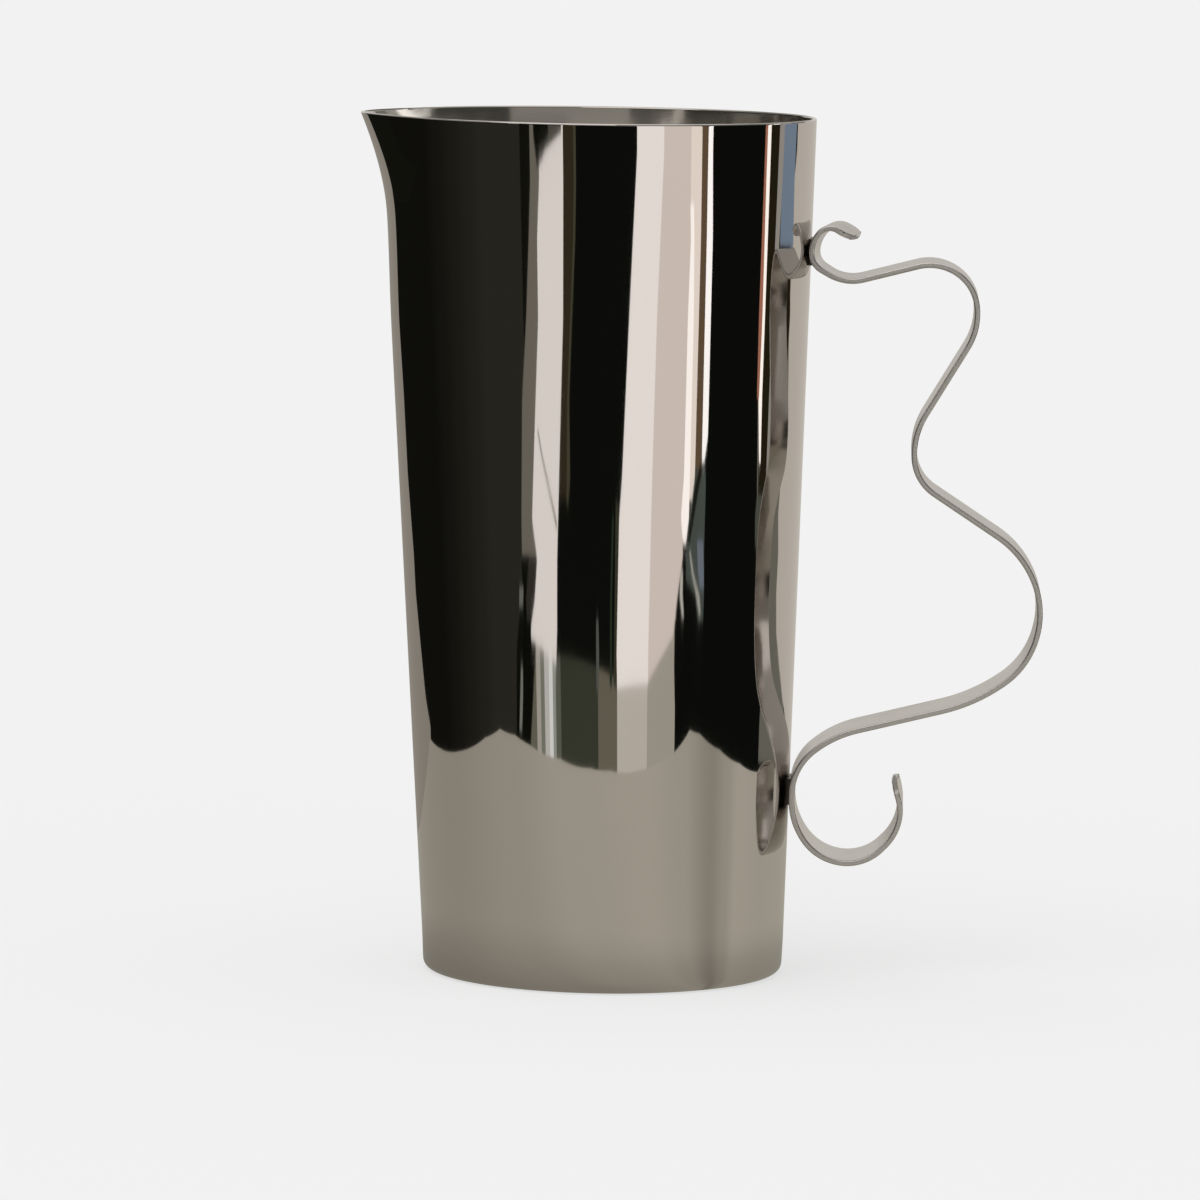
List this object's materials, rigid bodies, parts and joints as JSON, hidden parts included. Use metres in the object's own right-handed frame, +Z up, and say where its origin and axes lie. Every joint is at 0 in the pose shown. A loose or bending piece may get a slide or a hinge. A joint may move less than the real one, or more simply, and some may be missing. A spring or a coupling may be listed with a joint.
{
  "type": "cocktail pitcher",
  "caption": "Tall tapered steel pitcher with a broad drawn pouring lip and an open scrolled strip handle.",
  "frame": {"origin": "middle of the base, on the plane that the pitcher stands on", "axes": "+Z up; -X towards the pouring lip, +X towards the handle; the handle's strip lies across Y"},
  "size_m": [0.1846, 0.1166, 0.23],
  "materials": {
    "polished_steel": "stainless steel, mirror polished outside",
    "handle_steel": "stainless steel strip, polished, edges eased",
    "weld_steel": "weld metal, ground and polished"
  },
  "bodies": {
    "root": {"wall": "polished_steel", "base_pan": "polished_steel", "base_seam_weld": "polished_steel", "handle": "handle_steel", "upper_handle_weld": "weld_steel", "lower_handle_weld": "weld_steel"}
  },
  "joints": []
}
